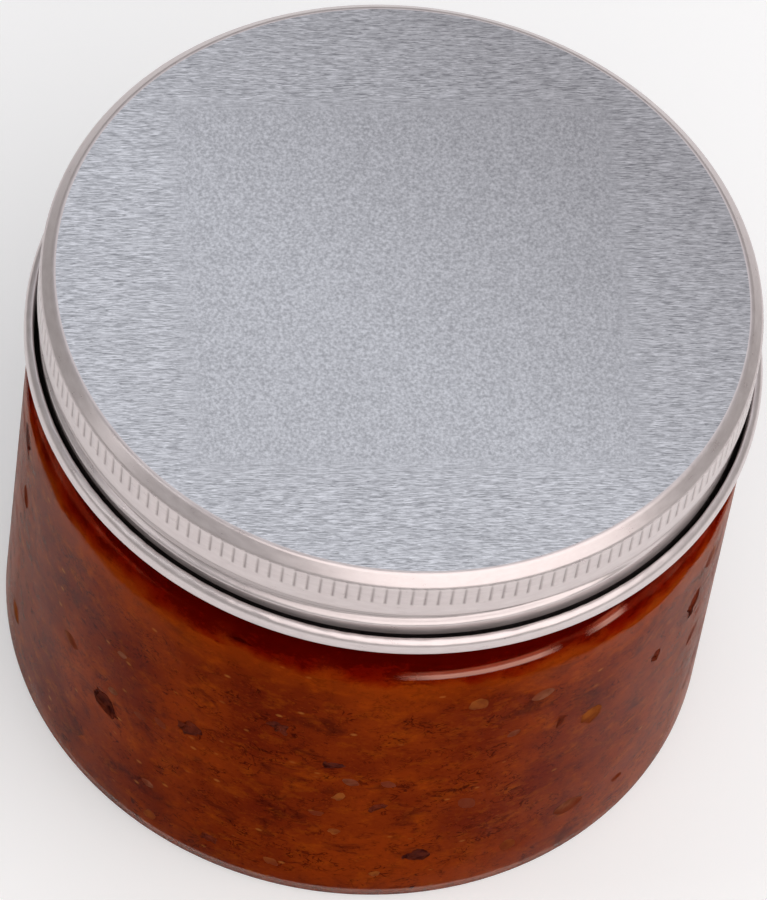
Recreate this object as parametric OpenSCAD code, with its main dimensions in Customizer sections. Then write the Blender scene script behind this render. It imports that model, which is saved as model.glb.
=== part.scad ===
// Condiment jar: a clear straight-sided plastic jar with a drawn aluminium screw lid,
// filled with chili paste. The jar stands on z = 0 with its axis on the z axis.

/* [Jar] */
// Outer diameter of the straight wall
jar_d = 86; // [82:1:96]
// Height of the sealing rim above the base
jar_h = 66.9; // [64:0.1:90]
// Depth of the lower edge of the shoulder below the sealing rim
shoulder_depth = 17.6; // [16.5:0.1:20]
// Radius of the shoulder's curve
shoulder_r = 5; // [4.4:0.1:6]
// Radius of the curve between the wall and the base
heel_r = 3; // [2:0.1:4]
// Thickness of the blown wall
wall = 0.8; // [0.6:0.05:1.1]
// Thickness of the floor
floor_t = 1; // [0.8:0.1:1.5]
// Width of the flat standing ring
foot_w = 7; // [4:0.5:12]
// Rise of the base in the middle of the standing ring
base_rise = 2.2; // [1:0.1:3]

/* [Neck] */
// Inward step from the wall to the neck
neck_step = 2.8; // [2.6:0.1:3.5]
// Thickness of the neck wall
neck_wall = 1.4; // [1.1:0.1:1.8]
// Radius of the sealing rim's edges
rim_edge_r = 0.4; // [0.2:0.1:0.5]

/* [Thread] */
// Rise of the thread in one turn
thread_pitch = 5.08; // [4.5:0.01:5.6]
// Height of the neck thread above the neck wall
thread_height = 1.2; // [0.9:0.1:1.3]
// Width of the neck thread where it meets the neck
thread_root_w = 2; // [1.6:0.1:2.2]
// Width of the neck thread at its crest
thread_crest_w = 1; // [0.6:0.1:1.2]
// Turns of the neck thread
thread_turns = 1.25; // [1:0.05:1.4]
// Depth of the thread's upper end below the sealing rim
thread_start_depth = 1.7; // [1.5:0.1:2.4]
// Clearance between the flanks of the neck thread and the lid thread
thread_gap = 0.3; // [0.2:0.05:0.5]

/* [Lid] */
// Clearance between the crest of the neck thread and the skirt
skirt_gap = 0.35; // [0.25:0.05:0.45]
// Height of the lid from its panel to the foot of its curl
lid_h = 13.15; // [12.9:0.05:13.6]
// Thickness of the aluminium sheet
sheet_t = 0.3; // [0.2:0.02:0.36]
// Inward step from the knurled band to the top rim
rim_step = 0.9; // [0.7:0.1:1]
// Radius of the top rim's rolled edge
rim_r = 0.9; // [0.7:0.1:1]
// Depth of the crease between the top rim and the knurled band
crease_depth = 0.75; // [0.6:0.05:0.85]
// Radius of the band's upper edge
band_edge_r = 1; // [0.7:0.1:1.2]
// Depth of the step below the knurled band
step_depth = 6.6; // [6.2:0.1:7]
// Radius of the band's lower edge
step_edge_r = 0.4; // [0.35:0.05:0.5]
// Inward step from the knurled band to the threaded skirt
skirt_step = 0.45; // [0.35:0.05:0.5]

/* [Knurls] */
// Number of pressed knurls round the band
knurl_count = 176; // [120:4:200]
// Radius of the tool that presses a knurl
knurl_r = 0.2; // [0.15:0.05:0.3]
// Depth of a knurl
knurl_depth = 0.15; // [0.08:0.01:0.18]
// Depth of the upper end of the knurls below the panel
knurl_top_depth = 1.3; // [1.1:0.1:1.6]
// Length of a knurl
knurl_len = 3.15; // [2.4:0.05:3.6]

/* [Lid thread] */
// Depth of the groove rolled into the outside of the skirt
groove_depth = 0.8; // [0.6:0.05:0.85]
// Width of the groove at the skirt's surface
groove_w = 1.8; // [1.4:0.1:2]
// Width of the groove at its bottom
groove_bottom_w = 0.7; // [0.5:0.1:0.9]
// Turns of the rolled thread
groove_turns = 0.58; // [0.45:0.01:0.62]
// Depth of the rolled thread below the panel, at the front of the jar
groove_front_depth = 8.45; // [8.2:0.05:8.7]
// Angle from the front of the jar to the upper end of the rolled thread
groove_end_angle = 60; // [40:5:80]

/* [Curl] */
// Outer radius of the curl at the foot of the skirt
curl_r = 1; // [0.8:0.05:1.2]
// Straight rise of the curl before its edge turns in
curl_rise = 0.5; // [0.3:0.1:0.8]
// Angle that the curl's edge turns in
curl_turn = 65; // [40:5:80]

/* [Liner] */
// Thickness of the foamed liner
liner_t = 1; // [0.8:0.1:1.4]
// Clearance between the liner and the curve inside the lid's rim
liner_gap = 0.2; // [0.1:0.05:0.4]

/* [Contents] */
// Height of the top of the paste above the neck's foot
paste_over = 1.2; // [0.8:0.1:2]
// Depth of the oil's surface below the sealing rim
oil_depth = 5.5; // [5:0.1:7]
// Thickness of the oil film between the paste and the shoulder
film_t = 0.6; // [0.4:0.05:0.9]
// Depth of the foot of the oil film below the shoulder
film_drop = 1.5; // [0.5:0.1:3]
// Clearance between the contents and the jar
fill_gap = 0.05; // [0.02:0.01:0.1]

/* [Pieces in the paste] */
// Least spacing of the pieces round the wall and up it
piece_pitch = 7.8; // [7.6:0.1:12]
// Length of a chili seed
seed_len = 3.6; // [2.8:0.1:3.8]
// Width of a chili seed
seed_w = 2.4; // [1.8:0.1:2.6]
// Thickness of a chili seed
seed_t = 0.6; // [0.4:0.1:0.9]
// Length of a chili flake
flake_len = 4.4; // [3:0.1:5]
// Width of a chili flake
flake_w = 2.6; // [1.8:0.1:3]
// Thickness of a chili flake
flake_t = 0.4; // [0.3:0.05:0.6]
// Length of a garlic bit
garlic_len = 3; // [2:0.1:3.4]
// Thickness of a garlic bit
garlic_t = 1.2; // [0.8:0.1:1.4]

/* [Hidden] */
$fn = 96;

// Overrun of every cut and joint past the surface it crosses
over = 0.4;

// Direction in which the front of the jar faces
front_angle = -90;

// Radii and heights of the jar
jar_r = jar_d / 2;
neck_r = jar_r - neck_step;
bore_r = neck_r - neck_wall;
shoulder_z = jar_h - shoulder_depth;
shoulder_x = jar_r - shoulder_r;
heel_x = jar_r - heel_r;
foot_inner_r = heel_x - foot_w;
neck_foot_z = shoulder_z + sqrt(pow(shoulder_r, 2) - pow(neck_r - shoulder_x, 2));
dome_r = (pow(foot_inner_r, 2) + pow(base_rise, 2)) / (2 * base_rise);
dome_z = base_rise - dome_r;

// Heights and radii of the lid
lid_top_z = jar_h + liner_t + sheet_t;
thread_crest_r = neck_r + thread_height;
skirt_inner_r = thread_crest_r + skirt_gap;
skirt_r = skirt_inner_r + sheet_t;
band_r = skirt_r + skirt_step;
cap_r = band_r - rim_step;
curl_x = skirt_inner_r + curl_r;
curl_z = lid_top_z - lid_h + curl_r;

// The neck thread and the lid thread follow one helix, the lid's a flank below
ridge_height = groove_depth + sheet_t / 3;
ridge_root_w = groove_w + sheet_t;
ridge_crest_w = groove_bottom_w + sheet_t;
ridge_crest_r = skirt_inner_r - ridge_height;
crest_share = (thread_crest_r - ridge_crest_r) / ridge_height;
ridge_w_at_thread = ridge_crest_w + crest_share * (ridge_root_w - ridge_crest_w);
flank_offset = (max(thread_crest_w, ridge_crest_w) + max(ridge_w_at_thread, thread_root_w)) / 2;
helix_drop = flank_offset + thread_gap;
ridge_front_z = lid_top_z - groove_front_depth;
ridge_end_angle = front_angle + groove_end_angle;
ridge_end_z = ridge_front_z + thread_pitch * groove_end_angle / 360;
thread_end_z = jar_h - thread_start_depth;
thread_end_angle = front_angle + 360 * (thread_end_z - ridge_front_z - helix_drop) / thread_pitch;
taper_share = 0.16;
taper_depth_share = 0.08;
steps_per_turn = 60;

// Heights and radii of the contents
fill_r = jar_r - wall - fill_gap;
paste_top_z = neck_foot_z + paste_over;
oil_top_z = jar_h - oil_depth;
film_z = shoulder_z - film_drop;

// Cells round the sides and the back that hold the pieces in the paste
seed_kind = 0;
flake_kind = 2;
garlic_kind = 4;
kinds = 5;
piece_reach = max(seed_len, flake_len, garlic_len) / 2;
pieces_low_z = heel_r + piece_reach;
pieces_high_z = film_z - piece_reach;
piece_rows = max(1, floor((pieces_high_z - pieces_low_z) / piece_pitch));
piece_columns = kinds * floor(2 * PI * fill_r / (kinds * piece_pitch));
cell_angle = 360 / piece_columns;
cell_h = (pieces_high_z - pieces_low_z) / piece_rows;
middle_share = 0.5;
turn_shift_share = 0.25;
rise_shift_share = 0.15;
tilts = rands(0, 180, piece_columns * piece_rows, 7);
turn_shift_shares = rands(-turn_shift_share, turn_shift_share, piece_columns * piece_rows, 11);
rise_shift_shares = rands(-rise_shift_share, rise_shift_share, piece_columns * piece_rows, 13);

// Pieces at the front, which are placed one by one. Each has its angle from the front, the share
// of the way up to the oil film at which it lies, its tilt and the share of the full size.
front_half_angle = 64;
front_seed_shares = [
    [-49, 0.52, -8, 0.8], [-38, 0.5, 23, 0.5], [-37, 0.68, 19, 0.45], [-32, 0.49, 7, 0.5],
    [-28, 0.52, -27, 0.55], [-29, 0.23, -4, 0.5], [4.5, 0.55, -25, 0.6], [10.5, 0.55, -20, 0.55],
    [24, 0.43, -45, 0.8], [30, 0.71, 22, 0.5], [34, 0.85, 12, 0.85], [44, 0.23, -6, 1.2],
    [55, 0.2, -7, 0.5]
];
front_flake_shares = [
    [-39, 0.42, -34, 1.1], [-23, 0.57, 2, 0.7], [-8, 0.73, -38, 0.55], [-17, 0.14, -12, 0.45],
    [1, 0.61, -34, 0.5], [9.5, 0.45, 3, 0.45], [17, 0.21, -10, 0.75], [38.5, 0.69, 9, 0.45],
    [59, 0.69, 14, 0.6]
];
front_garlic_shares = [
    [-28, 0.1, 10, 0.5], [-6, 0.13, -30, 0.5], [0, 0.39, -16, 0.5], [3, 0.32, 13, 0.4],
    [3, 0.48, 13, 0.5], [11, 0.13, -10, 0.4], [23, 0.88, -17, 0.8], [33, 0.17, -31, 0.7],
    [45, 0.64, -61, 1]
];
seed_sides = 14;
seed_shares = [for (i = [0:seed_sides - 1]) let (angle = 360 * i / seed_sides) [cos(angle) / 2, sin(angle) / 2]];
flake_shares = [[-0.5, -0.1], [-0.28, -0.5], [0.2, -0.42], [0.5, -0.05], [0.3, 0.38], [-0.2, 0.5]];
garlic_shares = [[-0.5, -0.3], [-0.1, -0.45], [0.5, -0.2], [0.4, 0.32], [-0.15, 0.45], [-0.46, 0.15]];

// Share of the full thread height at share s of the way along the helix
function taper(s) = max(taper_depth_share, min(1, s / taper_share, (1 - s) / taper_share));

// One cross-section of a helical rib, from its root at root_r to its crest
function rib_section(root_r, reach, root_w, crest_w, angle, z) = [
    [root_r * cos(angle), root_r * sin(angle), z - root_w / 2],
    [(root_r + reach) * cos(angle), (root_r + reach) * sin(angle), z - crest_w / 2],
    [(root_r + reach) * cos(angle), (root_r + reach) * sin(angle), z + crest_w / 2],
    [root_r * cos(angle), root_r * sin(angle), z + root_w / 2]
];

// A helical rib that ends at end_angle and end_z. A positive reach points outwards and a
// negative one inwards. Its root lies sunk past root_r, and its reach fades at both ends.
module helical_rib(root_r, reach, sunk, root_w, crest_w, turns, end_angle, end_z) {
    side = sign(reach);
    steps = ceil(turns * steps_per_turn);
    sections = [
        for (i = [0:steps])
            rib_section(root_r - side * sunk, side * sunk + reach * taper(i / steps), root_w, crest_w,
                end_angle - 360 * turns * (1 - i / steps), end_z - thread_pitch * turns * (1 - i / steps))
    ];
    points = [for (section = sections) for (corner = section) corner];
    walls = [
        for (i = [0:steps - 1]) for (k = [0:3]) for (half = [0:1])
            let (a = 4 * i + k, b = 4 * i + (k + 1) % 4)
            half == 0 ? [a, a + 4, b] : [b, a + 4, b + 4]
    ];
    last = 4 * steps;
    ends = [[0, 1, 2], [0, 2, 3], [last, last + 2, last + 1], [last, last + 3, last + 2]];
    faces = concat(walls, ends);
    polyhedron(points, side < 0 ? faces : [for (f = faces) [f[2], f[1], f[0]]]);
}

// The space inside the jar in section, drawn in from its walls by inset and closed at height top
module cavity_outline(inset, top) {
    gap = wall + inset;
    difference() {
        union() {
            translate([0, heel_r])
                square([jar_r - gap, shoulder_z - heel_r]);
            translate([0, gap])
                square([heel_x, heel_r]);
            translate([heel_x, heel_r])
                circle(heel_r - gap);
            intersection() {
                translate([shoulder_x, shoulder_z])
                    circle(shoulder_r - gap);
                square([jar_r, top]);
            }
            translate([0, shoulder_z - over])
                square([min(bore_r - inset, shoulder_x), min(top, shoulder_z + shoulder_r) - shoulder_z + over]);
            translate([0, shoulder_z])
                square([bore_r - inset, top - shoulder_z]);
        }
        translate([0, dome_z])
            circle(dome_r + floor_t + inset, $fn = 8 * $fn);
    }
}

// The paste in section: against the jar's wall up to the foot of the oil film, behind the film above it
module paste_outline() {
    intersection() {
        cavity_outline(fill_gap, paste_top_z);
        square([jar_r, film_z]);
    }
    intersection() {
        cavity_outline(fill_gap + film_t, paste_top_z);
        translate([0, heel_r])
            square([jar_r, jar_h]);
    }
}

module paste_envelope() {
    rotate_extrude($fn = 3 * $fn)
        paste_outline();
}

// Angle, height, tilt and size of the pieces in every cell of the given kind outside the front
function cell_places(kind) = [
    for (row = [0:piece_rows - 1]) for (column = [0:piece_columns - 1])
        let (i = row * piece_columns + column, angle = (column + turn_shift_shares[i]) * cell_angle)
        if ((column + 2 * row) % kinds == kind && abs(angle) > front_half_angle
                && abs(angle - 360) > front_half_angle)
            [angle, pieces_low_z + (row + middle_share + rise_shift_shares[i]) * cell_h, tilts[i], 1]
];

function front_places(shares) = [for (s = shares) [s[0], s[1] * film_z, s[2], s[3]]];

// Places its child against the inside of the wall at each place, facing outwards
module at_places(places) {
    for (p = places)
        rotate([0, 0, front_angle + p[0]])
            translate([fill_r, 0, p[1]])
                rotate([90, 0, 90])
                    rotate([0, 0, p[2]])
                        scale(p[3])
                            children();
}

// A flat seed or a flat chopped piece, whose outer face lies past the surface of the paste
module flat_piece(shares, len, w, t) {
    translate([0, 0, -t])
        linear_extrude(t + over)
            polygon([for (s = shares) [s[0] * len, s[1] * w]]);
}

module seeds_whole() {
    at_places(concat(front_places(front_seed_shares), cell_places(seed_kind)))
        flat_piece(seed_shares, seed_len, seed_w, seed_t);
}

module flakes_whole() {
    at_places(concat(front_places(front_flake_shares), cell_places(flake_kind)))
        flat_piece(flake_shares, flake_len, flake_w, flake_t);
}

module garlic_whole() {
    at_places(concat(front_places(front_garlic_shares), cell_places(garlic_kind)))
        flat_piece(garlic_shares, garlic_len, garlic_len, garlic_t);
}

// The blown jar: standing ring with a raised middle, straight wall, shoulder and threaded neck
module jar_body() {
    color([0.86, 0.9, 0.9, 0.35]) {
        rotate_extrude() {
            difference() {
                union() {
                    translate([0, heel_r])
                        square([jar_r, shoulder_z - heel_r]);
                    square([heel_x, 2 * heel_r]);
                    translate([heel_x, heel_r])
                        circle(heel_r);
                    translate([shoulder_x, shoulder_z])
                        circle(shoulder_r);
                    translate([0, shoulder_z - shoulder_r])
                        square([shoulder_x, 2 * shoulder_r]);
                    translate([0, shoulder_z])
                        square([neck_r, jar_h - rim_edge_r - shoulder_z]);
                    translate([0, shoulder_z])
                        square([neck_r - rim_edge_r, jar_h - shoulder_z]);
                    translate([neck_r - rim_edge_r, jar_h - rim_edge_r])
                        circle(rim_edge_r);
                }
                cavity_outline(0, jar_h + over);
                translate([0, dome_z])
                    circle(dome_r, $fn = 8 * $fn);
                translate([-2 * jar_r, -jar_r])
                    square([2 * jar_r, 3 * jar_r]);
            }
        }
        helical_rib(neck_r, thread_height, over, thread_root_w, thread_crest_w, thread_turns,
            thread_end_angle, thread_end_z);
    }
}

// The curl in section, from the foot of the skirt outwards and up to its cut edge
module curl_outline() {
    reach = 2 * curl_r;
    translate([curl_x, curl_z])
        difference() {
            circle(curl_r);
            circle(curl_r - sheet_t);
            translate([-reach, 0])
                square([2 * reach, reach]);
        }
    translate([curl_x + curl_r - sheet_t, curl_z])
        square([sheet_t, curl_rise]);
    translate([curl_x, curl_z + curl_rise])
        intersection() {
            difference() {
                circle(curl_r);
                circle(curl_r - sheet_t);
            }
            polygon([[0, 0], [reach, 0], [reach, reach * sin(curl_turn)],
                     [reach * cos(curl_turn), reach * sin(curl_turn)]]);
        }
}

// The lid's outer surface in section, drawn in by inset, closed at height foot
module lid_outline(inset, foot) {
    translate([0, lid_top_z]) {
        translate([0, foot - lid_top_z])
            square([skirt_r - inset, lid_top_z - foot - crease_depth - band_edge_r]);
        translate([0, inset - step_depth])
            square([band_r - step_edge_r, step_depth - crease_depth - band_edge_r - inset]);
        translate([0, step_edge_r - step_depth])
            square([band_r - inset, step_depth - step_edge_r - crease_depth - band_edge_r]);
        translate([band_r - step_edge_r, step_edge_r - step_depth])
            circle(step_edge_r - inset);
        translate([band_r - band_edge_r, -crease_depth - band_edge_r])
            circle(band_edge_r - inset);
        translate([0, -crease_depth - 2 * band_edge_r])
            square([band_r - band_edge_r, 2 * band_edge_r - inset]);
        translate([0, -crease_depth - band_edge_r])
            square([cap_r - inset, crease_depth + band_edge_r - rim_r]);
        translate([cap_r - rim_r, -rim_r])
            circle(rim_r - inset);
        translate([0, -2 * rim_r])
            square([cap_r - rim_r, 2 * rim_r - inset]);
    }
}

// The drawn lid: panel, rolled rim, knurled band, threaded skirt and curl
module lid_shell() {
    color([0.78, 0.77, 0.77])
        difference() {
            union() {
                rotate_extrude() {
                    difference() {
                        lid_outline(0, curl_z);
                        lid_outline(sheet_t, curl_z - over);
                    }
                    curl_outline();
                }
                helical_rib(skirt_inner_r, -ridge_height, sheet_t / 2, ridge_root_w, ridge_crest_w,
                    groove_turns, ridge_end_angle, ridge_end_z);
            }
            helical_rib(skirt_r, -groove_depth, over, groove_w, groove_bottom_w,
                groove_turns, ridge_end_angle, ridge_end_z);
            for (i = [0:knurl_count - 1])
                rotate([0, 0, i * 360 / knurl_count])
                    translate([band_r + knurl_r - knurl_depth, 0, lid_top_z - knurl_top_depth - knurl_len])
                        cylinder(h = knurl_len, r = knurl_r);
        }
}

// The foamed disc that seals the rim, held flat under the lid's panel
module lid_liner() {
    color([0.95, 0.95, 0.93])
        translate([0, 0, jar_h])
            cylinder(h = liner_t, r = cap_r - rim_r - liner_gap);
}

// The paste, with pockets for the pieces that show through the wall
module chili_paste() {
    color([0.46, 0.17, 0.05])
        difference() {
            paste_envelope();
            seeds_whole();
            flakes_whole();
            garlic_whole();
        }
}

// The red oil on the paste, with its film down the inside of the shoulder
module chili_oil() {
    color([0.42, 0.05, 0.02, 0.8])
        rotate_extrude()
            difference() {
                intersection() {
                    cavity_outline(fill_gap, oil_top_z);
                    translate([0, film_z])
                        square([jar_r, jar_h]);
                }
                paste_outline();
            }
}

// The chili seeds that lie against the wall
module chili_seeds() {
    color([0.64, 0.42, 0.28])
        intersection() {
            seeds_whole();
            paste_envelope();
        }
}

// The dark flakes of chili skin that lie against the wall
module chili_flakes() {
    color([0.27, 0.08, 0.05])
        intersection() {
            flakes_whole();
            paste_envelope();
        }
}

// The pale chopped garlic that lies against the wall
module garlic_bits() {
    color([0.68, 0.38, 0.14])
        intersection() {
            garlic_whole();
            paste_envelope();
        }
}

jar_body();
lid_shell();
lid_liner();
chili_paste();
chili_oil();
chili_seeds();
chili_flakes();
garlic_bits();
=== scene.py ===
import math

import bmesh
import bpy
import numpy as np
from mathutils import Euler, Matrix, Vector


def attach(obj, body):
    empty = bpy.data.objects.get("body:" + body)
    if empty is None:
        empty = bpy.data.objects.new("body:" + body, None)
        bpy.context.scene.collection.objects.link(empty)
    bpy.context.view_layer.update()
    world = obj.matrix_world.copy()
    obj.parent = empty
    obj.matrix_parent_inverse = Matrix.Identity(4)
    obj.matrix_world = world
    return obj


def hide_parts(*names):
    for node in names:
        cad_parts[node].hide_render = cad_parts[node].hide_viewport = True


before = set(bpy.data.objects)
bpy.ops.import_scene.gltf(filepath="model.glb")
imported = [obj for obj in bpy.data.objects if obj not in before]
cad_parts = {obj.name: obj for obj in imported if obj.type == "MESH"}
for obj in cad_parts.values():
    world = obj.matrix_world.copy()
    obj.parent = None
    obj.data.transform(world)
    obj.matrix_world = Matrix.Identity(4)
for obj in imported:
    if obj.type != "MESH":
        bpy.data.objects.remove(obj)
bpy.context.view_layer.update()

# The jar: a straight-sided can with a rounded shoulder, a threaded neck and a raised middle in
# its base. It is clear PET, blown in one piece against a polished mould, and the contents wet
# its wall, so no air shows between them.
MM = 0.001
wall_radius = 43 * MM
wall_thickness = 0.8 * MM
inner_wall = wall_radius - wall_thickness
heel_curve = 3 * MM
heel_centre = (wall_radius - heel_curve, heel_curve)
base_rise = 2.2 * MM
base_ring_radius = 33 * MM
floor_thickness = 1 * MM
shoulder_height = 49.3 * MM
shoulder_curve = 5 * MM
shoulder_centre = (wall_radius - shoulder_curve, shoulder_height)
neck_radius = 40.2 * MM
bore_radius = 38.8 * MM
rim_height = 66.9 * MM
rim_edge = 0.4 * MM
oil_level = 61.4 * MM
thread_pitch = 5.08 * MM
neck_thread = {"Pitch": thread_pitch, "Height": 1.2 * MM, "Root width": 2 * MM, "Crest width": 1 * MM,
               "Turns": 1.25, "End angle": 168.66, "End height": 65.2 * MM, "Taper": 0.16}
jar_columns = 240


def arc(x, z, radius, start, end, steps):
    """Points of a circular arc in section, from one angle to another in degrees."""
    angles = [math.radians(start + (end - start) * i / steps) for i in range(steps + 1)]
    return [(x + radius * math.cos(a), z + radius * math.sin(a)) for a in angles]


def line(start, end, steps):
    """Points along a straight line in section, both ends among them."""
    return [
        (start[0] + (end[0] - start[0]) * i / steps, start[1] + (end[1] - start[1]) * i / steps)
        for i in range(steps + 1)
    ]


def even_angles(count):
    """Angles in radians that are spread evenly over the full circle."""
    return [math.tau * i / count for i in range(count)]


def turned_mesh(name, section, angles, flags, fine=None):
    """A closed mesh turned about the z axis through points of (radius, height), from a pole to a pole.
    A point makes a ring at all the angles, but at every third one if it is outside the fine span.
    Each flag is an attribute that is 1 in its spans of rings and 0 in the others."""
    points, ids, ring_of_point = [], [], []
    for number, (radius, height) in enumerate(section):
        every = 1 if fine is None or fine[0] <= number < fine[1] else 3
        kept = angles[:1] if radius == 0 else angles[::every]
        ids.append(range(len(points), len(points) + len(kept)))
        points += [(radius * math.cos(a), radius * math.sin(a), height) for a in kept]
        ring_of_point += [number] * len(kept)
    faces = []
    for upper, lower in zip(ids, ids[1:]):
        n, m = len(upper), len(lower)
        if n == 1:
            faces += [(upper[0], lower[i], lower[(i + 1) % m]) for i in range(m)]
        elif m == 1:
            faces += [(upper[i], lower[0], upper[(i + 1) % n]) for i in range(n)]
        elif n == m:
            faces += [(upper[i], lower[i], lower[(i + 1) % n], upper[(i + 1) % n]) for i in range(n)]
        else:
            coarse, dense = (upper, lower) if n < m else (lower, upper)
            ratio = len(dense) // len(coarse)
            for i in range(len(coarse)):
                here, beyond = coarse[i], coarse[(i + 1) % len(coarse)]
                along = [dense[(ratio * i + k) % len(dense)] for k in range(ratio + 1)]
                half = ratio // 2
                fan = [(here, along[k], along[k + 1]) for k in range(half)]
                fan += [(here, along[half], along[half + 1], beyond)]
                fan += [(beyond, along[k], along[k + 1]) for k in range(half + 1, ratio)]
                faces += fan if n < m else [face[::-1] for face in fan]
    mesh = bpy.data.meshes.new(name)
    mesh.from_pydata(points, [], faces)
    for flag, spans in flags.items():
        attribute = mesh.attributes.new(flag, "FLOAT", "POINT")
        attribute.data.foreach_set("value", [
            float(any(start <= number < end for start, end in spans)) for number in ring_of_point])
    shape = bmesh.new()
    shape.from_mesh(mesh)
    bmesh.ops.recalc_face_normals(shape, faces=shape.faces)
    shape.to_mesh(mesh)
    shape.free()
    mesh.shade_smooth()
    piece = bpy.data.objects.new(name, mesh)
    bpy.context.collection.objects.link(piece)
    return piece


def flagged(piece, flag):
    """Each point of a piece with the value that a flag has there."""
    return zip(piece.data.vertices, [a.value for a in piece.data.attributes[flag].data])


def add_node(tree, kind, inputs=None, **settings):
    """Adds a node with its settings, gives its inputs, by name or number, a value or a link, and
    returns its outputs."""
    node = tree.nodes.new(kind)
    for setting, value in settings.items():
        setattr(node, setting, value)
    for socket, value in (inputs or {}).items():
        if isinstance(value, bpy.types.NodeSocket):
            tree.links.new(value, node.inputs[socket])
        else:
            node.inputs[socket].default_value = value
    return node.outputs


def linear(hex_colour):
    """The linear colour of an sRGB hex value."""
    parts = [int(hex_colour[i : i + 2], 16) / 255 for i in (1, 3, 5)]
    return (*[p / 12.92 if p <= 0.04045 else ((p + 0.055) / 1.055) ** 2.4 for p in parts], 1)


def new_material(name):
    """A material with an empty node tree, and the tree."""
    material = bpy.data.materials.new(name)
    material.use_nodes = True
    material.node_tree.nodes.clear()
    return material, material.node_tree


def tinted(tree, colour, value, start, end, most, towards):
    """A colour taken towards another: not at all where a value is at its start, and most at its end."""
    share = add_node(tree, "ShaderNodeMapRange", {0: value, 1: start, 2: end, 3: 0.0, 4: most})[0]
    return add_node(tree, "ShaderNodeMix", {0: share, 6: colour, 7: linear(towards)}, data_type="RGBA")[2]


def finish_clear(tree, surface, tint):
    """Ends the tree of a clear material: light on its way to what lies behind passes straight through,
    tinted, and the rest meets the surface."""
    passing = add_node(tree, "ShaderNodeBsdfTransparent", {"Color": linear(tint)})[0]
    path = add_node(tree, "ShaderNodeLightPath")
    straight = add_node(tree, "ShaderNodeMath", {0: path["Is Shadow Ray"], 1: path["Is Diffuse Ray"]},
                        operation="MAXIMUM")[0]
    mixed = add_node(tree, "ShaderNodeMixShader", {0: straight, 1: surface, 2: passing})[0]
    add_node(tree, "ShaderNodeOutputMaterial", {"Surface": mixed})


def new_growth(name, sizes):
    """A geometry tree with its Geometry sockets and its named sizes, with their defaults, and what its
    input gives. A size of None stands for a material."""
    tree = bpy.data.node_groups.new(name, "GeometryNodeTree")
    for way in ("INPUT", "OUTPUT"):
        tree.interface.new_socket(name="Geometry", in_out=way, socket_type="NodeSocketGeometry")
    kinds = {int: "NodeSocketInt", float: "NodeSocketFloat", type(None): "NodeSocketMaterial"}
    for size, value in sizes.items():
        socket = tree.interface.new_socket(name=size, in_out="INPUT", socket_type=kinds[type(value)])
        if value is not None:
            socket.default_value = value
    return tree, add_node(tree, "NodeGroupInput")


def level_direction(tree, position, way):
    """The level direction at a position: away from the z axis for 1, and towards it for -1."""
    level = add_node(tree, "ShaderNodeVectorMath", {0: position, 1: (way, way, 0)}, operation="MULTIPLY")[0]
    return add_node(tree, "ShaderNodeVectorMath", {0: level}, operation="NORMALIZE")[0]


def grow(piece, tree, sizes):
    """Runs a geometry tree on a piece with the sizes given by name, and keeps the result as its mesh."""
    modifier = piece.modifiers.new("grow", "NODES")
    modifier.node_group = tree
    for item in tree.interface.items_tree:
        if item.in_out == "INPUT" and item.name in sizes:
            modifier[item.identifier] = sizes[item.name]
    state = bpy.context.evaluated_depsgraph_get()
    done = piece.evaluated_get(state)
    mesh = bpy.data.meshes.new_from_object(done, preserve_all_data_layers=True, depsgraph=state)
    piece.modifiers.remove(modifier)
    piece.data = mesh


# The thread: a helical rib that rises to the right, the same on the blown neck and, pressed
# inwards, on the skirt of the lid.
thread, given = new_growth("helical thread", neck_thread)
position = add_node(thread, "GeometryNodeInputPosition")[0]
parts = add_node(thread, "ShaderNodeSeparateXYZ", {0: position})
end_angle = add_node(thread, "ShaderNodeMath", {0: given["End angle"]}, operation="RADIANS")[0]
angle = add_node(thread, "ShaderNodeMath", {0: parts["Y"], 1: parts["X"]}, operation="ARCTAN2")[0]
past_end = add_node(thread, "ShaderNodeMath", {0: angle, 1: end_angle}, operation="SUBTRACT")[0]
turn = add_node(thread, "ShaderNodeMath", {0: past_end, 1: math.tau}, operation="DIVIDE")[0]
over = add_node(thread, "ShaderNodeMath", {0: parts["Z"], 1: given["End height"]}, operation="SUBTRACT")[0]
turn_there = add_node(thread, "ShaderNodeMath", {0: over, 1: given["Pitch"]}, operation="DIVIDE")[0]
apart = add_node(thread, "ShaderNodeMath", {0: turn_there, 1: turn}, operation="SUBTRACT")[0]
whole = add_node(thread, "ShaderNodeMath", {0: apart}, operation="ROUND")[0]
along = add_node(thread, "ShaderNodeMath", {0: turn, 1: whole}, operation="ADD")[0]
off_turns = add_node(thread, "ShaderNodeMath", {0: turn_there, 1: along}, operation="SUBTRACT")[0]
off = add_node(thread, "ShaderNodeMath", {0: off_turns, 1: given["Pitch"]}, operation="MULTIPLY")[0]
distance = add_node(thread, "ShaderNodeMath", {0: off}, operation="ABSOLUTE")[0]
root_half, crest_half = [
    add_node(thread, "ShaderNodeMath", {0: given[width], 1: 0.5}, operation="MULTIPLY")[0]
    for width in ("Root width", "Crest width")]
flank = add_node(thread, "ShaderNodeMapRange", {0: distance, 1: root_half, 2: crest_half, 3: 0.0, 4: 1.0},
                 interpolation_type="SMOOTHSTEP")[0]
walked = add_node(thread, "ShaderNodeMath", {0: along, 1: given["Turns"]}, operation="DIVIDE")[0]
from_start = add_node(thread, "ShaderNodeMath", {0: walked, 1: 1.0}, operation="ADD")[0]
to_end = add_node(thread, "ShaderNodeMath", {0: 0.0, 1: walked}, operation="SUBTRACT")[0]
nearer = add_node(thread, "ShaderNodeMath", {0: from_start, 1: to_end}, operation="MINIMUM")[0]
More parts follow.
